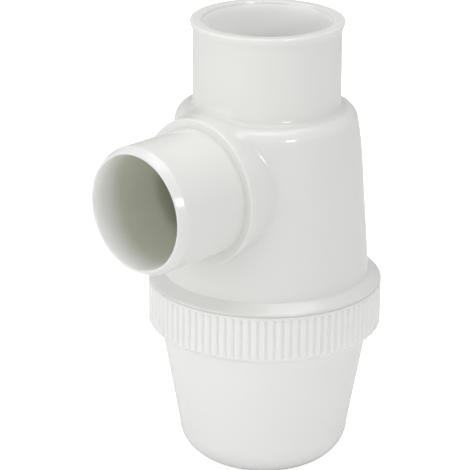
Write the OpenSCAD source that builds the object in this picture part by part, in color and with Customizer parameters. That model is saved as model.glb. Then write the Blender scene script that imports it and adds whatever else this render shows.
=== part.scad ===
// Bottle trap for a wash basin, moulded in white plastic, with a screw cup.
// The waste pipe is glued into the socket on top, and the outlet spigot is glued
// into the branch pipe. The cup with the fluted collar unscrews for cleaning.
// Z runs up the trap's axis from the flat under the cup, +X points along the outlet.

/* [Pipes] */
// Outside diameter of the waste pipes that the trap joins
pipe_d = 40; // [32:1:50]
// Radial room for glue between the pipe and the inlet socket
glue_room = 0.1; // [0.05:0.05:0.3]

/* [Inlet socket] */
// Depth of the socket that the inlet pipe is pushed into
socket_depth = 27.5; // [18:0.5:34]
// Wall of the socket
socket_wall = 3; // [2:0.1:4]
// How far the lip at the mouth stands out from the socket
lip_out = 0.8; // [0.4:0.1:1.5]
// Height of the lip, from its foot to the mouth
lip_h = 3; // [2:0.1:5]
// Width of the lead-in chamfer in the mouth
lead_in = 0.4; // [0.2:0.1:1]
// Width of the ledge that stops the pipe
pipe_stop = 2.5; // [1.5:0.1:3]

/* [Body] */
// Wall of the body
wall = 2.4; // [1.8:0.1:3.2]
// Outside diameter of the body at the bevelled flange
cone_foot_d = 65.6; // [64:0.2:68]
// Outside diameter of the body where the shoulder begins
cone_top_d = 60; // [57:0.5:63]
// Height of the cone between the flange and the shoulder
cone_h = 38.9; // [36:0.5:48]
// Height of the rounded shoulder
shoulder_h = 15.6; // [13:0.2:19]
// Radius of the hollow where the shoulder meets the socket
socket_fillet = 1.7; // [1:0.1:2.5]

/* [Dip tube] */
// Depth of the water that seals the trap
water_seal = 50; // [40:1:52]
// Wall of the dip tube at its lower end
dip_wall = 2; // [1.5:0.1:2.4]

/* [Outlet] */
// Height of the outlet's axis above the underside of the flange
outlet_rise = 35.4; // [34:0.2:37]
// Distance from the trap's axis to the end of the spigot
outlet_reach = 57.5; // [52:0.5:70]
// Wall of the spigot
spigot_wall = 2.1; // [1.6:0.1:3]
// Length of the tapered end of the spigot
spigot_taper = 2.2; // [1:0.1:4]
// Distance from the trap's axis to the end face of the boss
boss_reach = 30.8; // [29:0.2:34]
// How far the boss stands out round the spigot
boss_step = 2.95; // [2:0.05:3.2]
// Rounding of the boss's outer edge
boss_edge = 0.5; // [0.2:0.1:1]
// How far the boss widens at each side, where it grows out of the body
boss_flare = 3; // [1:0.5:4]
// Length of that flare along the outlet
boss_flare_len = 8; // [4:0.5:9]
// Length of plain boss between the flare and the end face
boss_land = 4.8; // [3:0.2:7]
// How far the spigot's root stands out, where it meets the boss
root_out = 0.45; // [0.2:0.05:0.8]
// Length of the spigot's root, up to the plain spigot
root_len = 1.3; // [1.1:0.1:2]

/* [Flange and neck] */
// Slope of the bevel on top of the flange, in degrees
flange_bevel = 31; // [20:1:40]
// Rounding of the flange's edge
flange_edge = 0.9; // [0.5:0.1:1.5]
// Outside diameter of the neck that goes down into the collar
neck_d = 64.6; // [62:0.2:65]
// Length of the neck below the flange
neck_len = 11; // [8:0.5:11.5]

/* [Screw cup] */
// Height from the flat underside to the foot of the collar
cup_h = 45.8; // [42:0.2:52]
// Outside diameter of the cup under the collar
cup_top_d = 66; // [64:0.2:67]
// Outside diameter of the cup above its rounded bottom
cup_low_d = 54; // [52:0.5:58]
// Height of the rounded bottom
cup_round_h = 12; // [9:0.5:15]
// Diameter of the flat that the cup stands on
cup_flat_d = 24; // [18:1:30]
// Height of the collar
collar_h = 15.2; // [14.5:0.1:20]
// Wall of the collar outside the thread room
collar_wall = 3.1; // [2.6:0.1:4]
// Number of flutes round the collar
flutes = 90; // [40:2:96]
// Depth of a flute
flute_depth = 0.6; // [0.3:0.1:0.9]
// Radius of the cutter that makes a flute
flute_r = 0.55; // [0.4:0.05:0.8]
// Plain band left above the flutes
plain_band = 0.9; // [0.5:0.1:2]
// Bevel on the lower edge of the collar
collar_bevel = 1.3; // [0.6:0.1:2]

/* [Sealing ring] */
// Thickness of the rubber ring
ring_t = 2; // [1.5:0.1:2.2]

/* [Fits] */
// Gap between the flange and the collar
parting_gap = 0.25; // [0.2:0.05:0.4]
// Radial room for the thread between the neck and the collar
thread_room = 1.5; // [1.2:0.1:2]
// Gap above and below the sealing ring
ring_gap = 0.1; // [0.05:0.05:0.2]
// Radial gap between the sealing ring and the collar
ring_side_gap = 0.6; // [0.3:0.1:1]

/* [Hidden] */

$fn = 96;
// Spare length that carries a cut past the surface it opens
over = 1;
// Steps in a large and in a small rounded stretch
big_steps = 14;
small_steps = 5;

// Radii of the pipework
pipe_r = pipe_d / 2;
socket_r = pipe_r + glue_room;
socket_out_r = socket_r + socket_wall;
lip_r = socket_out_r + lip_out;
dip_in_r = socket_r - pipe_stop;
dip_out_r = dip_in_r + wall;
dip_end_r = dip_in_r + dip_wall;
spigot_in_r = pipe_r - spigot_wall;
boss_r = pipe_r + boss_step;

// Radii of the body and cup
neck_r = neck_d / 2;
neck_in_r = neck_r - wall;
thread_r = neck_r + thread_room;
collar_r = thread_r + collar_wall;
cone_foot_r = cone_foot_d / 2;
cone_top_r = cone_top_d / 2;
cup_top_r = cup_top_d / 2;
cup_low_r = cup_low_d / 2;
cup_flat_r = cup_flat_d / 2;

// Heights from the flat under the cup
collar_top_z = cup_h + collar_h;
flange_z = collar_top_z + parting_gap;
neck_end_z = flange_z - neck_len;
bevel_z = flange_z + flange_edge * cos(flange_bevel);
bevel_r = collar_r - flange_edge * (1 - sin(flange_bevel));
cone_foot_z = bevel_z + (bevel_r - cone_foot_r) * tan(flange_bevel);
cone_top_z = cone_foot_z + cone_h;
shoulder_z = cone_top_z + shoulder_h;
mouth_z = shoulder_z + socket_fillet + socket_depth - wall;
socket_floor_z = mouth_z - socket_depth;
outlet_z = flange_z + outlet_rise;
dip_end_z = outlet_z - spigot_in_r - water_seal;

// The ledge in the cup that carries the ring, a ring and two gaps below the neck
ledge_z = neck_end_z - ring_t - 2 * ring_gap;

// Inner radius of the body's cone at a height
function chamber_r(z) =
    cone_top_r - wall + (cone_foot_r - cone_top_r) * (cone_top_z - z) / cone_h;

// Points along an ellipse's arc, from one angle to another
function arc(centre, rx, rz, from, to, steps) = [
    for (i = [0:steps])
        let (a = from + (to - from) * i / steps)
            centre + [rx * cos(a), rz * sin(a)]
];

// Outside of the body, from the axis at the neck's end up to the mouth
function body_outline() = concat(
    [[0, neck_end_z], [neck_r - wall / 4, neck_end_z], [neck_r, neck_end_z + wall / 4]],
    [[neck_r, flange_z], [collar_r, flange_z]],
    arc([collar_r - flange_edge, flange_z], flange_edge, flange_edge,
        0, 90 - flange_bevel, small_steps),
    [[cone_foot_r, cone_foot_z]],
    arc([socket_out_r + socket_fillet, cone_top_z],
        cone_top_r - socket_out_r - socket_fillet, shoulder_h, 0, 90, big_steps),
    arc([socket_out_r + socket_fillet, shoulder_z + socket_fillet],
        socket_fillet, socket_fillet, 270, 180, small_steps),
    [[socket_out_r, mouth_z - lip_h]],
    arc([lip_r - lip_out, mouth_z - lip_out], lip_out, lip_out, 0, 90, small_steps),
    [[0, mouth_z]]
);

// The ring-shaped chamber between the dip tube and the body's wall
function chamber_outline() = concat(
    [[dip_end_r, dip_end_z - over], [neck_in_r, dip_end_z - over]],
    [[neck_in_r, flange_z], [chamber_r(cone_foot_z), cone_foot_z]],
    arc([dip_out_r, cone_top_z], cone_top_r - wall - dip_out_r,
        shoulder_h - wall, 0, 90, big_steps),
    [[dip_out_r, cone_foot_z]]
);

// Outside of the cup's bowl, up to the inside of the collar
function bowl_outline() = concat(
    [[0, 0]],
    arc([cup_flat_r, cup_round_h], cup_low_r - cup_flat_r, cup_round_h,
        270, 360, big_steps),
    [[cup_top_r, cup_h], [thread_r, ledge_z], [0, ledge_z]]
);

// Inside of the cup's bowl
function well_outline() = concat(
    [[0, wall]],
    arc([cup_flat_r, cup_round_h], cup_low_r - wall - cup_flat_r, cup_round_h - wall,
        270, 360, big_steps),
    [[cup_top_r - wall, cup_h], [cup_top_r - wall, ledge_z + over], [0, ledge_z + over]]
);

// A solid of revolution about the trap's axis
module turned(outline) {
    rotate_extrude() polygon(outline);
}

// A solid of revolution about the outlet's axis, with its heights along +X
module turned_on_outlet(outline) {
    translate([0, 0, outlet_z]) rotate([0, 90, 0]) rotate_extrude() polygon(outline);
}

// The boss with its flare and rounded edge, and the spigot with its root and tapered end
module outlet_solid() {
    taper_step = spigot_wall / 4;
    flare_end = boss_reach - boss_land;
    turned_on_outlet(concat(
        [[0, flare_end - boss_flare_len]],
        arc([boss_r + boss_flare, flare_end], boss_flare, boss_flare_len,
            270, 180, small_steps),
        arc([boss_r - boss_edge, boss_reach - boss_edge], boss_edge, boss_edge,
            0, 90, small_steps),
        [[pipe_r + root_out, boss_reach], [pipe_r, boss_reach + root_len],
         [pipe_r, outlet_reach - spigot_taper],
         [pipe_r - taper_step, outlet_reach], [0, outlet_reach]]
    ));
}

// The waterway through the spigot, which opens into the chamber beside the dip tube
module outlet_waterway() {
    start = dip_out_r + (neck_in_r - dip_out_r) / 20;
    turned_on_outlet([[0, start], [spigot_in_r, start],
                      [spigot_in_r, outlet_reach + over], [0, outlet_reach + over]]);
}

// Inlet socket, stop ledge and dip tube, bored from the mouth down
module inlet_waterway() {
    turned([
        [0, dip_end_z - over], [dip_in_r, dip_end_z - over], [dip_in_r, socket_floor_z],
        [socket_r, socket_floor_z], [socket_r, mouth_z - 2 * lead_in],
        [socket_r + lead_in, mouth_z], [socket_r + lead_in, mouth_z + over],
        [0, mouth_z + over]
    ]);
}

// One moulding: socket, shoulder, cone, flange, neck, dip tube, boss and spigot
module trap_body() {
    color("ghostwhite")
        difference() {
            union() {
                turned(body_outline());
                turned([[0, dip_end_z], [dip_end_r, dip_end_z],
                        [dip_out_r, cone_foot_z], [0, cone_foot_z]]);
                outlet_solid();
            }
            difference() {
                turned(chamber_outline());
                turned([[0, dip_end_z], [dip_end_r, dip_end_z],
                        [dip_out_r, cone_foot_z], [dip_out_r, shoulder_z], [0, shoulder_z]]);
            }
            outlet_waterway();
            inlet_waterway();
        }
}

// Rubber ring that lies on the cup's ledge, under the end of the neck
module sealing_ring() {
    ring_out_r = thread_r - ring_side_gap;
    ring_in_r = neck_in_r;
    color("dimgray")
        translate([0, 0, ledge_z + ring_gap])
            difference() {
                cylinder(h = ring_t, r = ring_out_r);
                translate([0, 0, -over]) cylinder(h = ring_t + 2 * over, r = ring_in_r);
            }
}

// Flutes cut round the collar, below the plain band
module flute_cuts() {
    cutter_at = collar_r + flute_r - flute_depth;
    for (i = [0:flutes - 1])
        rotate([0, 0, 360 * i / flutes])
            translate([cutter_at, 0, cup_h - over])
                cylinder(h = collar_h + over - plain_band, r = flute_r, $fn = 24);
}

// The fluted collar, with a bevelled foot and a rounded top edge
module collar() {
    top_round = plain_band / 2;
    difference() {
        turned(concat(
            [[cup_top_r - wall / 2, cup_h], [collar_r - collar_bevel, cup_h],
             [collar_r, cup_h + collar_bevel]],
            arc([collar_r - top_round, collar_top_z - top_round], top_round, top_round,
                0, 90, small_steps),
            [[thread_r, collar_top_z], [thread_r, ledge_z], [cup_top_r - wall / 2, ledge_z]]
        ));
        flute_cuts();
    }
}

// One moulding: bowl with a rounded bottom, ledge for the ring, and fluted collar
module screw_cup() {
    color("white")
        difference() {
            union() {
                turned(bowl_outline());
                collar();
            }
            turned(well_outline());
        }
}

trap_body();
sealing_ring();
screw_cup();
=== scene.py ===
"""A bottle trap for a wash basin, in white gloss plastic, standing on a pale studio floor.

Sizes are in millimetres until a mesh is made, and Z runs up the trap's axis from the flat
under the cup. The outlet points along +X, and its axis lies OUTLET_Z above that flat.
"""
import math

import bmesh
import bpy
import numpy as np
from mathutils import Matrix


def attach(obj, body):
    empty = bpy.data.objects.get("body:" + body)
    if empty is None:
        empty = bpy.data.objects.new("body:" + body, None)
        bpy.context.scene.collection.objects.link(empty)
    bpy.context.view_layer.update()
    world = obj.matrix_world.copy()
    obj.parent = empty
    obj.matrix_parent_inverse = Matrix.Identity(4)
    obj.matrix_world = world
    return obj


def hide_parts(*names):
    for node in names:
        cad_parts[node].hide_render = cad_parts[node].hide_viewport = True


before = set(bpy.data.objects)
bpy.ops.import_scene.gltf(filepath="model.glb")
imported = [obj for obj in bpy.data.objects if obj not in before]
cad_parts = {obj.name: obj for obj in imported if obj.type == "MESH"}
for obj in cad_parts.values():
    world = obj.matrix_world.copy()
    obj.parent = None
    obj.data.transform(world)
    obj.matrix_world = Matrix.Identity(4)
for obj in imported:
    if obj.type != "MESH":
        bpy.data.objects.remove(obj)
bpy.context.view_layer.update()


# The view: a long lens a little above the trap, with the outlet coming towards the camera and
# to the left. The angles are in degrees. TRAP_FROM_LENS is how far right of the lens, below it
# and in front of it the cup's foot lies, in millimetres.

LENS_PIXELS, FRAME_PIXELS, SENSOR_MM = 2621.0, 470, 36.0
LOOK_DOWN, ROLL, OUTLET_TURN = np.radians([20.23, 0.406, 226.44])
TRAP_FROM_LENS = np.array([9.06, 70.03, 855.1])


def look_at_trap():
    """The camera's matrix from the view's three angles.

    The trap is turned about Z so that its outlet lies at OUTLET_TURN, tipped by LOOK_DOWN and
    rolled by ROLL. The rows of the product are the camera's right, down and forward.
    """
    c, s = math.cos(OUTLET_TURN), math.sin(OUTLET_TURN)
    turn = np.array([[c, -s, 0], [s, c, 0], [0, 0, 1]])
    c, s = math.cos(LOOK_DOWN), math.sin(LOOK_DOWN)
    tip = np.array([[1, 0, 0], [0, -s, -c], [0, c, -s]])
    c, s = math.cos(ROLL), math.sin(ROLL)
    roll = np.array([[c, -s, 0], [s, c, 0], [0, 0, 1]])
    right, down, forward = roll @ tip @ turn
    place = -(roll @ tip @ turn).T @ TRAP_FROM_LENS / 1000
    matrix = np.eye(4)
    matrix[:3, :] = np.column_stack([right, -down, -forward, place])
    return matrix


camera_data = bpy.data.cameras.new("camera")
camera_data.sensor_width = SENSOR_MM
camera_data.lens = LENS_PIXELS / FRAME_PIXELS * SENSOR_MM
camera_data.clip_start, camera_data.clip_end = 0.05, 50
camera = bpy.data.objects.new("camera", camera_data)
camera.matrix_world = Matrix(look_at_trap())
bpy.context.scene.collection.objects.link(camera)
bpy.context.scene.camera = camera


# The body: one moulding in rigid white plastic, with the inlet socket, the rounded shoulder, the
# cone and its bevelled flange, the threaded neck, the dip tube inside, and the boss with the
# outlet spigot. The boss runs into the cone in a soft hollow, which the mould leaves round it.

# Columns round the axis, steps along each side of the window round the outlet, half the
# window's angle, and steps round the rest of the trap
TURNS, WINDOW_STEPS, WINDOW_HALF, BESIDE_STEPS = 144, 64, math.radians(80), 80
OUTLET_Z, REACH = 96.65, 57.5
SPIGOT_R, SPIGOT_BORE_R, BOSS_R, BOSS_X = 20.0, 17.9, 22.95, 30.8
# The spigot's lead-in: its length, the radius of the bend into it, its lean in degrees, the
# radius at which its end face begins, and the round between the two
TIP_LENGTH, TIP_BEND_R, TIP_LEAN, TIP_FACE_R, TIP_ROUND = 3.0, 1.5, 28, 18.453, 0.25
HOLLOW_R, MORE_ON_TOP, BOSS_EDGE, SPIGOT_ROOT = 0.6, 2.4, 0.4, 0.45
# The hollow has run out at BLEND_EDGE_R from the outlet's axis. Rays over the boss fan out from
# FAN_X on that axis, down to a lean of FAN_LAST degrees, and their lengths are searched between
# RAY_NEAR and RAY_FAR. EDGE_FANS holds the first and last lean and the number of rays over the
# boss's edge, over its flat end and the spigot's root, and beyond.
BLEND_EDGE_R, FAN_X, FAN_LAST, RAY_NEAR, RAY_FAR, HALVINGS = 27.4, 10.0, 38, 4.0, 48.0, 24
EDGE_FANS = (50.5, 45.6, 26), (45.4, 40.4, 28), (39.9, FAN_LAST, 4)
CONE_FOOT, CONE_TOP = (32.8, 64.22), (30.415, 97.37)
CONE_LEAN, BEND_LEAN, CREST_LEAN, BEND_R = 4.13, 11.13, 67.41, 4.7
BEND_FOOT, BEND_MIDDLE, CREST = (28.48, 114.27), (23.868, 113.363), (25.674, 117.702)
CHAMBER_TOP = (20.0, 103.12)
SOCKET_R, SOCKET_OUT_R, MOUTH_Z, SOCKET_FLOOR_Z = 20.1, 23.1, 145.52, 118.02
FLANGE_R, FLANGE_Z, NECK_R, NECK_IN_R, NECK_END_Z = 36.9, 61.25, 32.3, 29.9, 50.25
DIP_IN_R, DIP_OUT_R, DIP_END_R, DIP_END_Z = 17.6, 20.0, 19.6, 28.75
THREAD_PITCH, THREAD_RUN_OUT = 4.0, 1.2
NECK_THREAD_DEPTH, NECK_THREAD_LOW, NECK_THREAD_HIGH = 1.15, 51.3, 60.6
# How strongly points crowd towards the outlet's circle, and the distances in metres below
# which points are merged and edges dissolved
CROWDING, MERGE_M, EMPTY_M = 1.25, 2e-6, 1e-7
# Where along X the painted shade in the outlet's bore gives way to the pale colour, and over what
# run
PAINTED_SHADE_X, PAINTED_SHADE_RUN = 0.046, 0.009


def arc(middle, wide, high, start, stop, steps):
    """Points of an ellipse's arc.

    Each is the middle plus wide times the cosine, and high times the sine, of an angle that
    runs evenly from start to stop, in degrees.
    """
    a = np.radians(np.linspace(start, stop, steps + 1))
    return np.column_stack([middle[0] + wide * np.cos(a), middle[1] + high * np.sin(a)])


def line(start, stop, steps):
    """Points at even steps from start to stop."""
    return np.linspace(start, stop, steps + 1)


def leaning(start, start_lean, stop, stop_lean, steps):
    """A smooth curve between two points at which its outward normal leans up by given degrees.

    It is a cubic whose handles lie along the curve's direction at each end, a third of the
    distance between the two points long.
    """
    t = np.linspace(0, 1, steps + 1)[:, None]
    a, b = np.radians([start_lean, stop_lean])
    handle = math.dist(start, stop) / 3
    first = start + handle * np.array([-math.sin(a), math.cos(a)])
    second = stop - handle * np.array([-math.sin(b), math.cos(b)])
    ends = (1 - t) ** 3 * np.array(start) + t ** 3 * np.array(stop)
    return ends + 3 * (1 - t) ** 2 * t * first + 3 * (1 - t) * t * t * second


def joined(*stretches):
    """One run of points from several stretches, each of which begins where the last ended."""
    return np.vstack([stretches[0]] + [s[1:] for s in stretches[1:]])


def turned(profile, angles):
    """A surface of revolution about Z: profile point i at angle j is (r cos a, r sin a, z)."""
    r, z = profile[:, 0, None], profile[:, 1, None]
    return np.stack([r * np.cos(angles), r * np.sin(angles), z + 0 * angles], -1)


def closed_round(grid):
    """The grid with its first column again at the end, so that its last faces close the round."""
    return np.concatenate([grid, grid[:, :1]], 1)


def mesh_from(grids, name, sharp_degrees=26, finishes=()):
    """One mesh object from several grids of points in millimetres.

    Point (i, j) of a grid makes a face with (i, j + 1), (i + 1, j + 1) and (i + 1, j). Points
    that grids share are merged, faces are turned outwards, and edges that bend by more than
    sharp_degrees stay sharp under smooth shading. Where finishes are given, they say which of
    the piece's materials each grid takes.
    """
    points, faces, first = [], [], 0
    for grid in grids:
        rows, columns = grid.shape[:2]
        number = first + np.arange(rows * columns).reshape(rows, columns)
        corners = [number[:-1, :-1], number[:-1, 1:], number[1:, 1:], number[1:, :-1]]
        faces.append(np.stack([c.ravel() for c in corners], -1))
        points.append(grid.reshape(-1, 3))
        first += rows * columns
    mesh = bpy.data.meshes.new(name)
    mesh.from_pydata((np.vstack(points) / 1000).tolist(), [], np.vstack(faces).tolist())
    if finishes:
        mesh.polygons.foreach_set("material_index", np.repeat(finishes, [len(f) for f in faces]))
    shell = bmesh.new()
    shell.from_mesh(mesh)
    bmesh.ops.remove_doubles(shell, verts=shell.verts, dist=MERGE_M)
    bmesh.ops.dissolve_degenerate(shell, edges=shell.edges, dist=EMPTY_M)
    bmesh.ops.recalc_face_normals(shell, faces=shell.faces)
    shell.to_mesh(mesh)
    shell.free()
    mesh.shade_smooth()
    mesh.set_sharp_from_angle(angle=math.radians(sharp_degrees))
    piece = bpy.data.objects.new(name, mesh)
    bpy.context.scene.collection.objects.link(piece)
    return piece


def thread_ridge(z, angle, offset):
    """Height of a right-hand thread's ridge, from 0 in the groove to 1 on the crest.

    The share of a pitch that a point lies above the helix, z / pitch less the angle's share of
    a turn, sets it: a flat crest a fifth of the pitch wide, between flanks that ease to 0.
    """
    share = (z / THREAD_PITCH - angle / (2 * math.pi) + offset) % 1
    flank = np.clip((0.225 - abs(share - 0.5)) / 0.125, 0, 1)
    return flank * flank * (3 - 2 * flank)


def fade(z, low, high, run):
    """1 between low and high, easing to 0 over run at each end."""
    f = np.clip(np.minimum(z - low, high - z) / run, 0, 1)
    return f * f * (3 - 2 * f)


round_axis = np.arange(TURNS + 1) * 2 * math.pi / TURNS
beside_window = np.linspace(WINDOW_HALF, 2 * math.pi - WINDOW_HALF, BESIDE_STEPS + 1)

flange_round = arc((FLANGE_R - 0.9, FLANGE_Z + 0.12), 0.9, 0.9, 0, 59, 6)
outside_low = joined(
    line((NECK_R, FLANGE_Z), (FLANGE_R - 0.12, FLANGE_Z), 5),
    arc((FLANGE_R - 0.12, FLANGE_Z + 0.12), 0.12, 0.12, 270, 360, 3),
    flange_round,
    line(flange_round[-1], (CONE_FOOT[0] + 0.3, CONE_FOOT[1] - 0.12), 5),
    line((CONE_FOOT[0] + 0.3, CONE_FOOT[1] - 0.12), (CONE_FOOT[0] - 0.01, CONE_FOOT[1] + 0.2), 2),
    line((CONE_FOOT[0] - 0.01, CONE_FOOT[1] + 0.2), (32.672, 66.0), 2),
)
outside_window = joined(
    line((32.672, 66.0), CONE_TOP, 12),
    leaning(CONE_TOP, CONE_LEAN, BEND_FOOT, BEND_LEAN, 14),
    arc(BEND_MIDDLE, BEND_R, BEND_R, BEND_LEAN, CREST_LEAN, 14),
    leaning(CREST, CREST_LEAN, (SOCKET_OUT_R + 2.1, 117.83), 84, 2),
    arc((SOCKET_OUT_R + 2.1, 119.93), 2.1, 2.1, 270, 180, 10),
    line((SOCKET_OUT_R, 119.93), (SOCKET_OUT_R, 127.0), 12),
)
lip_hollow = arc((SOCKET_OUT_R + 3.2, 141.9), 3.2, 3.2, 180, 152, 6)
socket_outside = joined(
    line((SOCKET_OUT_R, 127.0), (SOCKET_OUT_R, 141.9), 8),
    lip_hollow,
    line(lip_hollow[-1], (23.86, 144.62), 3),
    arc((23.46, 145.0), 0.44, 0.52, -12, 90, 8),
    line((23.46, MOUTH_Z), (SOCKET_R + 0.5, MOUTH_Z), 4),
    arc((SOCKET_R + 0.5, MOUTH_Z - 0.3), 0.25, 0.3, 90, 180, 4),
    line((SOCKET_R + 0.25, MOUTH_Z - 0.3), (SOCKET_R, MOUTH_Z - 0.9), 2),
)
socket_inside = joined(
    line((SOCKET_R, MOUTH_Z - 0.9), (SOCKET_R, SOCKET_FLOOR_Z + 0.3), 12),
    arc((SOCKET_R - 0.3, SOCKET_FLOOR_Z + 0.3), 0.3, 0.3, 360, 270, 4),
    line((SOCKET_R - 0.3, SOCKET_FLOOR_Z), (DIP_IN_R + 0.3, SOCKET_FLOOR_Z), 3),
)
dip_tube = joined(
    arc((DIP_IN_R + 0.3, SOCKET_FLOOR_Z - 0.3), 0.3, 0.3, 90, 180, 4),
    line((DIP_IN_R, SOCKET_FLOOR_Z - 0.3), (DIP_IN_R, DIP_END_Z + 0.4), 12),
    arc((DIP_IN_R + 0.4, DIP_END_Z + 0.4), 0.4, 0.4, 180, 270, 4),
    line((DIP_IN_R + 0.4, DIP_END_Z), (DIP_END_R - 0.4, DIP_END_Z), 2),
    arc((DIP_END_R - 0.4, DIP_END_Z + 0.4), 0.4, 0.4, 270, 360, 4),
    line((DIP_END_R, DIP_END_Z + 0.4), (DIP_OUT_R, CONE_FOOT[1]), 8),
    line((DIP_OUT_R, CONE_FOOT[1]), (DIP_OUT_R, CHAMBER_TOP[1] + 13.2), 8),
    arc(CHAMBER_TOP, 7.6, 13.2, 90, 77.35, 4),
)
inside_window = joined(
    arc(CHAMBER_TOP, 7.6, 13.2, 77.35, 0, 40),
    line((27.6, CHAMBER_TOP[1]), (29.705, 74.0), 24),
)
inside_low = joined(
    line((29.705, 74.0), (30.4, CONE_FOOT[1]), 4),
    line((30.4, CONE_FOOT[1]), (NECK_IN_R, FLANGE_Z), 2),
    line((NECK_IN_R, FLANGE_Z), (NECK_IN_R, NECK_END_Z + 0.3), 5),
    arc((NECK_IN_R + 0.3, NECK_END_Z + 0.3), 0.3, 0.3, 180, 270, 3),
    line((NECK_IN_R + 0.3, NECK_END_Z), (NECK_R - 0.6, NECK_END_Z), 2),
    line((NECK_R - 0.6, NECK_END_Z), (NECK_R, NECK_END_Z + 0.6), 2),
)
neck = line((NECK_R, NECK_END_Z + 0.6), (NECK_R, FLANGE_Z), 36)


def threaded_neck():
    """The neck's wall with its thread: the radius grows by the ridge's height."""
    z, angle = neck[:, 1, None], round_axis
    ridge = thread_ridge(z, angle, 0) * fade(z, NECK_THREAD_LOW, NECK_THREAD_HIGH, THREAD_RUN_OUT)
    r = NECK_R + NECK_THREAD_DEPTH * ridge
    return np.stack([r * np.cos(angle), r * np.sin(angle), z + 0 * angle], -1)


def along(profile, length):
    """(r, z) at a length along a profile, measured from its first point."""
    run = np.append(0, np.cumsum(np.hypot(*np.diff(profile, axis=0).T)))
    return np.interp(length, run, profile[:, 0]), np.interp(length, run, profile[:, 1])


def window_rim(profile):
    """(angle, length along the profile) of points round the window, WINDOW_STEPS to a side.

    They are the lathe's own points on the window's four sides, taken in turn, so that the
    ring inside the window meets the lathe point for point.
    """
    run = np.append(0, np.cumsum(np.hypot(*np.diff(profile, axis=0).T)))
    across = np.linspace(-WINDOW_HALF, WINDOW_HALF, WINDOW_STEPS + 1)
    angle = np.concatenate([across[:-1], np.full(WINDOW_STEPS, WINDOW_HALF),
                            across[:0:-1], np.full(WINDOW_STEPS, -WINDOW_HALF)])
    length = np.concatenate([np.full(WINDOW_STEPS, run[0]), run[:-1],
                             np.full(WINDOW_STEPS, run[-1]), run[:0:-1]])
    return angle, length


def round_outlet(profile):
    """The angle about the outlet's axis of each point of a window's rim."""
    angle, length = window_rim(profile)
    r, z = along(profile, length)
    return np.arctan2(z - OUTLET_Z, r * np.sin(angle))


def where_tube_meets(profile, radius, turn):
    """(angle, length) where a tube of that radius about the outlet's axis meets a turned wall.

    The height is the outlet's plus radius times sin(turn), which gives the length along the
    profile, and the sine of the angle is radius times cos(turn) over the wall's radius there.
    """
    run = np.append(0, np.cumsum(np.hypot(*np.diff(profile, axis=0).T)))
    height = OUTLET_Z + radius * np.sin(turn)
    order = np.argsort(profile[:, 1])
    length = np.interp(height, profile[order, 1], run[order])
    return np.arcsin(radius * np.cos(turn) / along(profile, length)[0]), length


def wall_round_outlet(profile, radius, turn, rows):
    """The turned wall between the window's rim and the circle where the outlet meets it.

    Angle and length run evenly from the one to the other, with the points closer together at
    the circle, and each pair is then placed on the turned wall.
    """
    outer_angle, outer_length = window_rim(profile)
    inner_angle, inner_length = where_tube_meets(profile, radius, turn)
    share = np.linspace(0, 1, rows + 1)[:, None] ** CROWDING
    angle = inner_angle + (outer_angle - inner_angle) * share
    r, z = along(profile, inner_length + (outer_length - inner_length) * share)
    return np.stack([r * np.cos(angle), r * np.sin(angle), z], -1)


def from_wall(r, z):
    """Distance of points from the outside of the turned wall, negative within it.

    It is the least distance to the profile's segments, from the flange's edge to the socket's
    lip, and it is negative where the point's radius is below the wall's at the same height.
    """
    wall = joined(outside_low[11:], outside_window, socket_outside[:9])
    start, step = wall[:-1], np.diff(wall, axis=0)
    to = np.stack([r, z], -1)[..., None, :] - start
    share = np.clip((to * step).sum(-1) / (step * step).sum(-1), 0, 1)
    least = np.sqrt((((to - share[..., None] * step) ** 2).sum(-1)).min(-1))
    return np.where(r < np.interp(z, wall[:, 1], wall[:, 0]), -least, least)


def hollow_join(a, b, radius):
    """Distance from two joined shapes with a rounded hollow of that radius between them.

    Where both distances are below the radius, the join is the radius less the length of the
    two amounts by which they fall short of it.
    """
    short = np.hypot(np.maximum(radius - a, 0), np.maximum(radius - b, 0))
    return np.maximum(radius, np.minimum(a, b)) - short


def from_boss(x, rho):
    """Distance from the boss, a cylinder with a rounded edge that ends at BOSS_X."""
    out = np.stack([rho - (BOSS_R - BOSS_EDGE), x - (BOSS_X - BOSS_EDGE)])
    return np.minimum(out.max(0), 0) + np.hypot(*np.maximum(out, 0)) - BOSS_EDGE


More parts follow.
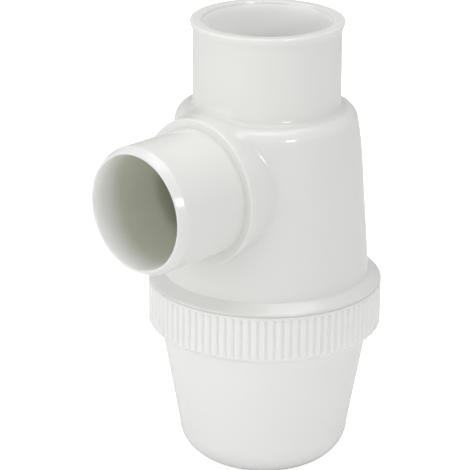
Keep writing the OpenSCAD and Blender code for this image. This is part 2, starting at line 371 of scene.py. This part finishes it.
def boss_and_hollow(turn):
    """The surface from the turned wall over the hollow and the boss to the spigot.

    Each column is a half plane through the outlet's axis. Rays fan out in it from a point on
    that axis inside the wall, closest together round the corner between wall and boss, and
    halving finds where each leaves the joined shapes. The hollow is widest on top.
    """
    angle, length = where_tube_meets(outside_window, BOSS_R, turn)
    corner = np.arctan2(BOSS_R, along(outside_window, length)[0] * np.cos(angle) - FAN_X)
    angle, length = where_tube_meets(outside_window, BLEND_EDGE_R, turn)
    r, z = along(outside_window, length)
    rim = np.stack([r * np.cos(angle), r * np.sin(angle), z], -1)
    first = np.arctan2(BLEND_EDGE_R, rim[:, 0] - FAN_X)
    over_edge = np.radians(np.concatenate([np.linspace(*leans) for leans in EDGE_FANS]))
    fan = first - over_edge[0]
    middle = np.clip((corner - over_edge[0]) / fan, 0.1, 0.9)
    spread = np.minimum(np.radians(3.0) / fan, 0.9 * np.minimum(middle, 1 - middle))
    down = np.linspace(1, 0, 13)[1:, None], np.linspace(1, -1, 23)[1:, None], np.linspace(1, 0, 11)
    share = np.vstack([middle + spread + (1 - middle - spread) * down[0],
                       middle + spread * down[1], (middle - spread) * down[2][1:-1, None]])
    ray = np.vstack([over_edge[0] + fan * share,
                     np.broadcast_to(over_edge[:, None], (len(over_edge), len(turn)))])
    hollow = HOLLOW_R + MORE_ON_TOP * np.maximum(np.sin(turn), 0) ** 4
    near, far = np.full(ray.shape, RAY_NEAR), np.full(ray.shape, RAY_FAR)
    for _ in range(HALVINGS):
        t = (near + far) / 2
        x, rho = FAN_X + t * np.cos(ray), t * np.sin(ray)
        y, z = rho * np.cos(turn), OUTLET_Z + rho * np.sin(turn)
        moulding = hollow_join(from_wall(np.hypot(x, y), z), from_boss(x, rho), hollow)
        outside = hollow_join(moulding, rho - SPIGOT_R, SPIGOT_ROOT) > 0
        near, far = np.where(outside, near, t), np.where(outside, t, far)
    return np.concatenate([rim[None], np.stack([x, y, z], -1)], 0)


def spigot(turn):
    """The spigot beyond its root, and its bore, turned about the outlet's axis.

    A bend, a straight lead-in and a small round lie between the spigot and its end face.
    """
    root = FAN_X + SPIGOT_R / math.tan(math.radians(FAN_LAST))
    bend = arc((SPIGOT_R - TIP_BEND_R, REACH - TIP_LENGTH), TIP_BEND_R, TIP_BEND_R, 0, TIP_LEAN, 5)
    tip = arc((TIP_FACE_R, REACH - TIP_ROUND), TIP_ROUND, TIP_ROUND, TIP_LEAN, 90, 4)
    shape = joined(
        line((SPIGOT_R, root), (SPIGOT_R, REACH - TIP_LENGTH), 8),
        bend,
        line(bend[-1], tip[0], 4),
        tip,
        line((TIP_FACE_R, REACH), (SPIGOT_BORE_R + 0.2, REACH), 2),
        arc((SPIGOT_BORE_R + 0.2, REACH - 0.2), 0.2, 0.2, 90, 180, 4),
        line((SPIGOT_BORE_R, REACH - 0.2), (SPIGOT_BORE_R, 29.5), 12),
    )
    rho, x = shape[:, 0, None], shape[:, 1, None]
    surface = np.stack([x + 0 * turn, rho * np.cos(turn), OUTLET_Z + rho * np.sin(turn)], -1)
    return surface[:-12], surface[-13:]


def body_shell():
    """All the grids of the body's mesh.

    Outside and inside are turned about Z except in a window round the outlet, which a ring
    fills from the window's rim to the outlet.
    """
    turn = round_outlet(outside_window)
    outlet, bore = spigot(turn)
    chamber = wall_round_outlet(inside_window[::-1], SPIGOT_BORE_R, turn, 12)
    return [
        threaded_neck(), turned(outside_low, round_axis), turned(outside_window, beside_window),
        turned(socket_outside, round_axis), turned(socket_inside, round_axis),
        turned(dip_tube, round_axis), turned(inside_window, beside_window),
        turned(inside_low, round_axis),
        closed_round(wall_round_outlet(outside_window, BLEND_EDGE_R, turn, 24)),
        closed_round(boss_and_hollow(turn)), closed_round(outlet), closed_round(bore),
        closed_round(chamber), closed_round(np.concatenate([bore[-1:], chamber[:1]], 0)),
    ]


class Socket:
    """A shader node's output, on which Python's operators add Math nodes."""

    def __init__(self, tree, link):
        self.tree, self.link = tree, link

    def node(self, kind, settings=(), sockets=(), output=0):
        """Adds a node: its settings come first, then its sockets' values or links."""
        made = self.tree.nodes.new(kind)
        for name, value in dict(settings).items():
            if name == "stops":
                while len(made.color_ramp.elements) < len(value):
                    made.color_ramp.elements.new(0.5)
                for element, (at, colour) in zip(made.color_ramp.elements, value):
                    element.position, element.color = at, colour
            else:
                setattr(made, name, value)
        for name, value in dict(sockets).items():
            if isinstance(value, Socket):
                self.tree.links.new(value.link, made.inputs[name])
            else:
                made.inputs[name].default_value = value
        return Socket(self.tree, made.outputs[output])

    def maths(self, operation, *values):
        """Adds a Math node on the given values."""
        return self.node("ShaderNodeMath", {"operation": operation}, dict(enumerate(values)))

    def __add__(self, other):
        return self.maths("ADD", self, other)

    def __sub__(self, other):
        return self.maths("SUBTRACT", self, other)

    def __rsub__(self, other):
        return self.maths("SUBTRACT", other, self)

    def __mul__(self, other):
        return self.maths("MULTIPLY", self, other)

    def __truediv__(self, other):
        return self.maths("DIVIDE", self, other)

    __radd__, __rmul__ = __add__, __mul__


def new_material(name):
    """(material, its node tree, its Principled shader, a Socket of Object coordinates)."""
    material = bpy.data.materials.new(name)
    material.use_nodes = True
    tree = material.node_tree
    shader = tree.nodes["Principled BSDF"]
    place = Socket(tree, tree.nodes.new("ShaderNodeTexCoord").outputs["Object"])
    return material, tree, shader, place


def moulded_plastic(name, pale, deep, roughness, scale=1.0):
    """White gloss plastic as it leaves the mould.

    The colour drifts between pale and deep in wide clouds. Roughness drifts with a finer
    cloud, and a faint ripple in the bump is the mould's polish and the plastic's shrinkage. A
    little light passes under the surface.
    """
    drift = 0.08
    material, tree, shader, place = new_material(name)
    cloud = place.node("ShaderNodeTexNoise", {}, {
        "Vector": place, "Scale": 22 * scale, "Detail": 3.0, "Roughness": 0.5})
    colour = cloud.node("ShaderNodeValToRGB", {"stops": [(0.3, deep), (0.7, pale)]}, {"Fac": cloud})
    tree.links.new(colour.link, shader.inputs["Base Color"])
    polish = place.node("ShaderNodeTexNoise", {}, {
        "Vector": place, "Scale": 160 * scale, "Detail": 4.0, "Roughness": 0.6})
    tree.links.new((roughness - drift / 2 + drift * polish).link, shader.inputs["Roughness"])
    ripple = place.node("ShaderNodeTexNoise", {}, {
        "Vector": place, "Scale": 45 * scale, "Detail": 2.0, "Roughness": 0.4})
    grain = place.node("ShaderNodeTexNoise", {}, {
        "Vector": place, "Scale": 900 * scale, "Detail": 2.0, "Roughness": 0.5})
    bump = ripple.node("ShaderNodeBump", {}, {
        "Height": ripple + 0.05 * grain, "Strength": 0.05, "Distance": 0.0004})
    tree.links.new(bump.link, shader.inputs["Normal"])
    shader.inputs["IOR"].default_value = 1.52
    shader.inputs["Subsurface Weight"].default_value = 0.5
    shader.inputs["Subsurface Radius"].default_value = (1, 1, 1)
    shader.inputs["Subsurface Scale"].default_value = 0.003
    return material


def socket_plastic_painted_light():
    """The socket's inner wall: duller from the core, lit through from outside, and with painted
    light: a paler colour than the body's stands for the light that falls into the socket.
    """
    material = moulded_plastic("socket_plastic_painted_light", (0.98, 0.98, 0.96, 1), (0.97, 0.97, 0.95, 1), 0.3)
    shader = material.node_tree.nodes["Principled BSDF"]
    shader.inputs["Subsurface Weight"].default_value = 1.0
    shader.inputs["Subsurface Scale"].default_value = 0.006
    return material


def waterway_plastic_painted_shade():
    """The same plastic inside the trap, less polished, with painted shade in a darker warm grey.

    The painted shade stands for the shade deep in the waterway. It comes in over the first part
    of the outlet's bore, by the distance along X, and the mouth keeps a plain pale grey. The
    Mix node's sockets 0, 6 and 7 are its factor and its two colours.
    """
    material = moulded_plastic(
        "waterway_plastic_painted_shade", (0.63, 0.64, 0.56, 1), (0.61, 0.62, 0.54, 1), 0.4)
    tree = material.node_tree
    shader = tree.nodes["Principled BSDF"]
    shader.inputs["Subsurface Weight"].default_value = 1.0
    shader.inputs["Subsurface Scale"].default_value = 0.006
    colour = shader.inputs["Base Color"]
    # inner is the darker grey of the painted shade; towards the mouth it gives way to a plain pale
    # grey
    inner = Socket(tree, colour.links[0].from_socket)
    place = Socket(tree, tree.nodes["Texture Coordinate"].outputs["Object"])
    along_bore = place.node("ShaderNodeSeparateXYZ", {}, {"Vector": place})
    mixed = place.node("ShaderNodeMix", {"data_type": "RGBA"}, {
        0: (along_bore - PAINTED_SHADE_X) / PAINTED_SHADE_RUN, 6: inner, 7: (0.8, 0.8, 0.78, 1)}, 2)
    tree.links.new(mixed.link, colour)
    return material


# The finishes follow the order of body_shell's grids
OUTER, WATERWAY, SOCKET_WALL = 0, 1, 2
body = mesh_from(body_shell(), "moulded_body", finishes=(
    OUTER, OUTER, OUTER, OUTER, SOCKET_WALL, OUTER, OUTER, OUTER,
    OUTER, OUTER, OUTER, WATERWAY, OUTER, WATERWAY))
body.data.materials.append(moulded_plastic(
    "body_plastic", (0.82, 0.82, 0.8, 1), (0.81, 0.81, 0.79, 1), 0.17))
# The waterway's darker grey is painted shade
body.data.materials.append(waterway_plastic_painted_shade())
# The socket wall's paler colour is painted light
body.data.materials.append(socket_plastic_painted_light())
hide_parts("trap_body")
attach(body, "body")


# The sealing ring: a flat ring of black rubber that lies on the cup's ledge. The end of the neck
# closes on it when the cup is screwed home, and it comes down with the cup.

RING_IN_R, RING_OUT_R, RING_LOW, RING_HIGH, RING_ROUND = 29.9, 33.2, 48.15, 50.15, 0.45

ring_section = joined(
    arc((RING_OUT_R - RING_ROUND, RING_LOW + RING_ROUND), RING_ROUND, RING_ROUND, 270, 360, 5),
    line((RING_OUT_R, RING_LOW + RING_ROUND), (RING_OUT_R, RING_HIGH - RING_ROUND), 2),
    arc((RING_OUT_R - RING_ROUND, RING_HIGH - RING_ROUND), RING_ROUND, RING_ROUND, 0, 90, 5),
    line((RING_OUT_R - RING_ROUND, RING_HIGH), (RING_IN_R + RING_ROUND, RING_HIGH), 3),
    arc((RING_IN_R + RING_ROUND, RING_HIGH - RING_ROUND), RING_ROUND, RING_ROUND, 90, 180, 5),
    line((RING_IN_R, RING_HIGH - RING_ROUND), (RING_IN_R, RING_LOW + RING_ROUND), 2),
    arc((RING_IN_R + RING_ROUND, RING_LOW + RING_ROUND), RING_ROUND, RING_ROUND, 180, 270, 5),
    line((RING_IN_R + RING_ROUND, RING_LOW), (RING_OUT_R - RING_ROUND, RING_LOW), 3),
)


def black_rubber():
    """Matt black rubber, a little chalky in patches, with a fine moulded grain."""
    material, tree, shader, place = new_material("seal_rubber")
    chalk = place.node("ShaderNodeTexNoise", {}, {
        "Vector": place, "Scale": 120.0, "Detail": 4.0, "Roughness": 0.6})
    colour = chalk.node("ShaderNodeValToRGB", {"stops": [
        (0.35, (0.012, 0.012, 0.013, 1)), (0.75, (0.032, 0.032, 0.033, 1))]}, {"Fac": chalk})
    tree.links.new(colour.link, shader.inputs["Base Color"])
    tree.links.new((0.55 + 0.25 * chalk).link, shader.inputs["Roughness"])
    grain = place.node("ShaderNodeTexNoise", {}, {
        "Vector": place, "Scale": 2200.0, "Detail": 2.0, "Roughness": 0.5})
    bump = grain.node("ShaderNodeBump", {}, {
        "Height": grain, "Strength": 0.35, "Distance": 0.0001})
    tree.links.new(bump.link, shader.inputs["Normal"])
    return material


ring = mesh_from([turned(ring_section, round_axis)], "rubber_ring", 40)
ring.data.materials.append(black_rubber())
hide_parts("sealing_ring")
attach(ring, "seal")


# The screw cup: one moulding in the same white plastic, with a bowl that narrows to a rounded
# bottom, a ledge for the ring, a thread inside the collar, and upright flutes outside it that a
# wet hand can grip.

FLUTES, FLUTE_DEPTH, COLLAR_R, COLLAR_TOP, CUP_H = 90, 0.6, 36.9, 61.12, 45.8
COLLAR_BEVEL, FLUTE_TOP, THREAD_R, LEDGE_Z = 1.3, 60.1, 33.8, 48.05
COLLAR_THREAD_DEPTH, COLLAR_THREAD_LOW, COLLAR_THREAD_HIGH = 1.1, 49.9, 60.5
BOWL_FLOOR_Z, BOWL_FLAT_R, BOWL_BEND_Z, BOWL_IN_R, BOWL_OUT_R = 2.4, 12, 12, 24.6, 27
CUP_MOUTH_R, CUP_SHOULDER_R, SHOULDER_ROUND, COLLAR_ROUND = 30.6, 33.3, 0.35, 0.13
VALLEY_HALF, VALLEY_POWER, CREST_DROP, CREST_HALF, FLUTE_RUN_OUT = 0.215, 0.8, 0.07, 0.45, 0.5
FLUTE_SAMPLES = np.array([-0.5, -0.36, -0.27, -0.2, -0.11, 0, 0.11, 0.2, 0.27, 0.36])

flute_angles = np.append(
    (np.arange(FLUTES)[:, None] + FLUTE_SAMPLES).ravel() * 2 * math.pi / FLUTES,
    (FLUTES + FLUTE_SAMPLES[0]) * 2 * math.pi / FLUTES)

cup_inside = joined(
    line((0, BOWL_FLOOR_Z), (BOWL_FLAT_R, BOWL_FLOOR_Z), 3),
    arc((BOWL_FLAT_R, BOWL_BEND_Z), BOWL_IN_R - BOWL_FLAT_R, BOWL_BEND_Z - BOWL_FLOOR_Z,
        270, 360, 10),
    line((BOWL_IN_R, BOWL_BEND_Z), (CUP_MOUTH_R, CUP_H), 6),
    line((CUP_MOUTH_R, CUP_H), (CUP_MOUTH_R, LEDGE_Z - 0.3), 1),
    line((CUP_MOUTH_R, LEDGE_Z - 0.3), (CUP_MOUTH_R + 0.3, LEDGE_Z), 1),
    line((CUP_MOUTH_R + 0.3, LEDGE_Z), (THREAD_R - 0.3, LEDGE_Z), 2),
    line((THREAD_R - 0.3, LEDGE_Z), (THREAD_R, LEDGE_Z + 0.3), 1),
)
collar_inside = line((THREAD_R, LEDGE_Z + 0.3), (THREAD_R, COLLAR_TOP - 0.4), 26)
collar_edge = joined(
    line((THREAD_R, COLLAR_TOP - 0.4), (THREAD_R + 0.4, COLLAR_TOP), 1),
    line((THREAD_R + 0.4, COLLAR_TOP), (COLLAR_R - COLLAR_ROUND, COLLAR_TOP), 1),
    arc((COLLAR_R - COLLAR_ROUND, COLLAR_TOP - COLLAR_ROUND), COLLAR_ROUND, COLLAR_ROUND,
        90, 0, 5),
    line((COLLAR_R, COLLAR_TOP - COLLAR_ROUND), (COLLAR_R, FLUTE_TOP + 0.05), 1),
)
flute_heights = np.concatenate([
    [FLUTE_TOP + 0.05, FLUTE_TOP - 0.08, FLUTE_TOP - 0.25, FLUTE_TOP - 0.5],
    np.linspace(FLUTE_TOP - 0.9, CUP_H + COLLAR_BEVEL + 0.3, 5),
    np.linspace(CUP_H + COLLAR_BEVEL + 0.1, CUP_H + 0.15, 7)])
shoulder = arc((CUP_SHOULDER_R, CUP_H - SHOULDER_ROUND), SHOULDER_ROUND, SHOULDER_ROUND, 90, 184, 3)
bowl_outside = joined(
    line((COLLAR_R - COLLAR_BEVEL, CUP_H + 0.15), (COLLAR_R - COLLAR_BEVEL - 0.25, CUP_H), 1),
    line((COLLAR_R - COLLAR_BEVEL - 0.25, CUP_H), (CUP_SHOULDER_R, CUP_H), 2),
    shoulder,
    line(shoulder[-1], (BOWL_OUT_R, BOWL_BEND_Z), 9),
    arc((BOWL_FLAT_R, BOWL_BEND_Z), BOWL_OUT_R - BOWL_FLAT_R, BOWL_BEND_Z, 0, -90, 15),
    line((BOWL_FLAT_R, 0), (0, 0), 3),
)


def threaded_collar():
    """The collar's inner wall with its thread: the radius shrinks by the ridge's height.

    The ridge lies half a pitch from the neck's, so that each runs in the other's groove.
    """
    z, angle = collar_inside[:, 1, None], flute_angles
    ends = fade(z, COLLAR_THREAD_LOW, COLLAR_THREAD_HIGH, THREAD_RUN_OUT)
    r = THREAD_R - COLLAR_THREAD_DEPTH * thread_ridge(z, angle, 0.5) * ends
    return np.stack([r * np.cos(angle), r * np.sin(angle), z + 0 * angle], -1)


def fluted_collar():
    """The collar's outer wall.

    A flute's depth is a power of one less the square of the distance from its middle, in
    shares of the pitch over VALLEY_HALF, and the crests ease down a little towards it. It
    grows from nothing under the plain band. The bevelled foot cuts it where that lies deeper.
    """
    z, angle = flute_heights[:, None], flute_angles
    share = (angle * FLUTES / (2 * math.pi) + 0.5) % 1 - 0.5
    valley = np.clip(1 - (share / VALLEY_HALF) ** 2, 0, 1) ** VALLEY_POWER
    crest = CREST_DROP * np.clip(1 - abs(share) / CREST_HALF, 0, 1) ** 2
    run_out = np.clip((FLUTE_TOP - z) / FLUTE_RUN_OUT, 0, 1)
    run_out = run_out * (2 - run_out)
    r = COLLAR_R - FLUTE_DEPTH * np.clip(valley + crest, 0, 1) * run_out
    bevel = COLLAR_R - COLLAR_BEVEL - 0.15 + (z - CUP_H)
    r = np.minimum(r, bevel)
    return np.stack([r * np.cos(angle), r * np.sin(angle), z + 0 * angle], -1)


cup = mesh_from([
    turned(cup_inside, flute_angles), threaded_collar(), turned(collar_edge, flute_angles),
    fluted_collar(), turned(bowl_outside, flute_angles)], "cup_with_collar", 32)
cup.data.materials.append(moulded_plastic(
    "cup_plastic", (0.9, 0.9, 0.88, 1), (0.89, 0.89, 0.87, 1), 0.17, 0.9))
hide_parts("screw_cup")
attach(cup, "cup")


# The studio: white paper under the trap, a large soft lamp low on the left, another straight
# above, a small one in front on the right for the highlights, and a bright room all round.
# Sizes are in metres. PAPER_GLOW and the rest of the room's light are only for the camera.

FLOOR_HALF, FLOOR_LOW, PAPER_GLOW, ROOM_LIGHT = 3.0, -0.0002, 0.7, 0.455


def paper():
    """White paper: it shows the trap's shadow, and adds its own light only for the camera."""
    material, tree, shader, place = new_material("paper")
    shader.inputs["Base Color"].default_value = (0.9, 0.9, 0.9, 1)
    shader.inputs["Roughness"].default_value = 0.9
    shader.inputs["Specular IOR Level"].default_value = 0.1
    shader.inputs["Emission Color"].default_value = (1, 1, 1, 1)
    seen = Socket(tree, tree.nodes.new("ShaderNodeLightPath").outputs["Is Camera Ray"])
    tree.links.new((PAPER_GLOW * seen).link, shader.inputs["Emission Strength"])
    return material


floor_mesh = bpy.data.meshes.new("floor")
floor_mesh.from_pydata([(x * FLOOR_HALF, y * FLOOR_HALF, FLOOR_LOW)
                        for x, y in ((-1, -1), (1, -1), (1, 1), (-1, 1))], [], [(0, 1, 2, 3)])
floor = bpy.data.objects.new("floor", floor_mesh)
floor.data.materials.append(paper())
bpy.context.scene.collection.objects.link(floor)

# To the right of the trap and away from the camera, as level directions, and where lamps aim
RIGHT = np.array([-0.6891, 0.7247, 0.0])
AWAY = np.array([-0.7247, -0.6891, 0.0])
LAMP_AIM = np.array([0, 0, 0.08])


def soft_lamp(name, right, away, up, wide, high, power):
    """A rectangular lamp placed by its distance to the right of the trap as the camera sees it,
    away from the camera and up, in metres, and turned towards the middle of the trap."""
    lamp = bpy.data.lights.new(name, "AREA")
    lamp.shape, lamp.size, lamp.size_y, lamp.energy = "RECTANGLE", wide, high, power
    holder = bpy.data.objects.new(name, lamp)
    place = right * RIGHT + away * AWAY + np.array([0, 0, up])
    back = place - LAMP_AIM
    back /= np.linalg.norm(back)
    side = np.cross([0, 0, 1], back)
    side /= np.linalg.norm(side)
    matrix = np.eye(4)
    matrix[:3, :] = np.column_stack([side, np.cross(back, side), back, place])
    holder.matrix_world = Matrix(matrix)
    bpy.context.scene.collection.objects.link(holder)


soft_lamp("key_lamp", -1.09, -0.51, 0.35, 1.2, 1.2, 6.8)
soft_lamp("top_lamp", 0.05, 0.0, 1.25, 0.9, 0.9, 6.0)
soft_lamp("front_lamp", 0.587, -1.017, 0.51, 0.22, 0.22, 2.5)

world = bpy.data.worlds.new("room")
bpy.context.scene.world = world
world.use_nodes = True
sky = world.node_tree.nodes["Background"]
sky.inputs["Color"].default_value = (1, 1, 1, 1)
path = world.node_tree.nodes.new("ShaderNodeLightPath")
seen = Socket(world.node_tree, path.outputs["Is Camera Ray"])
world.node_tree.links.new((ROOM_LIGHT + (1 - ROOM_LIGHT) * seen).link, sky.inputs["Strength"])

bpy.context.scene.view_settings.view_transform = "Standard"
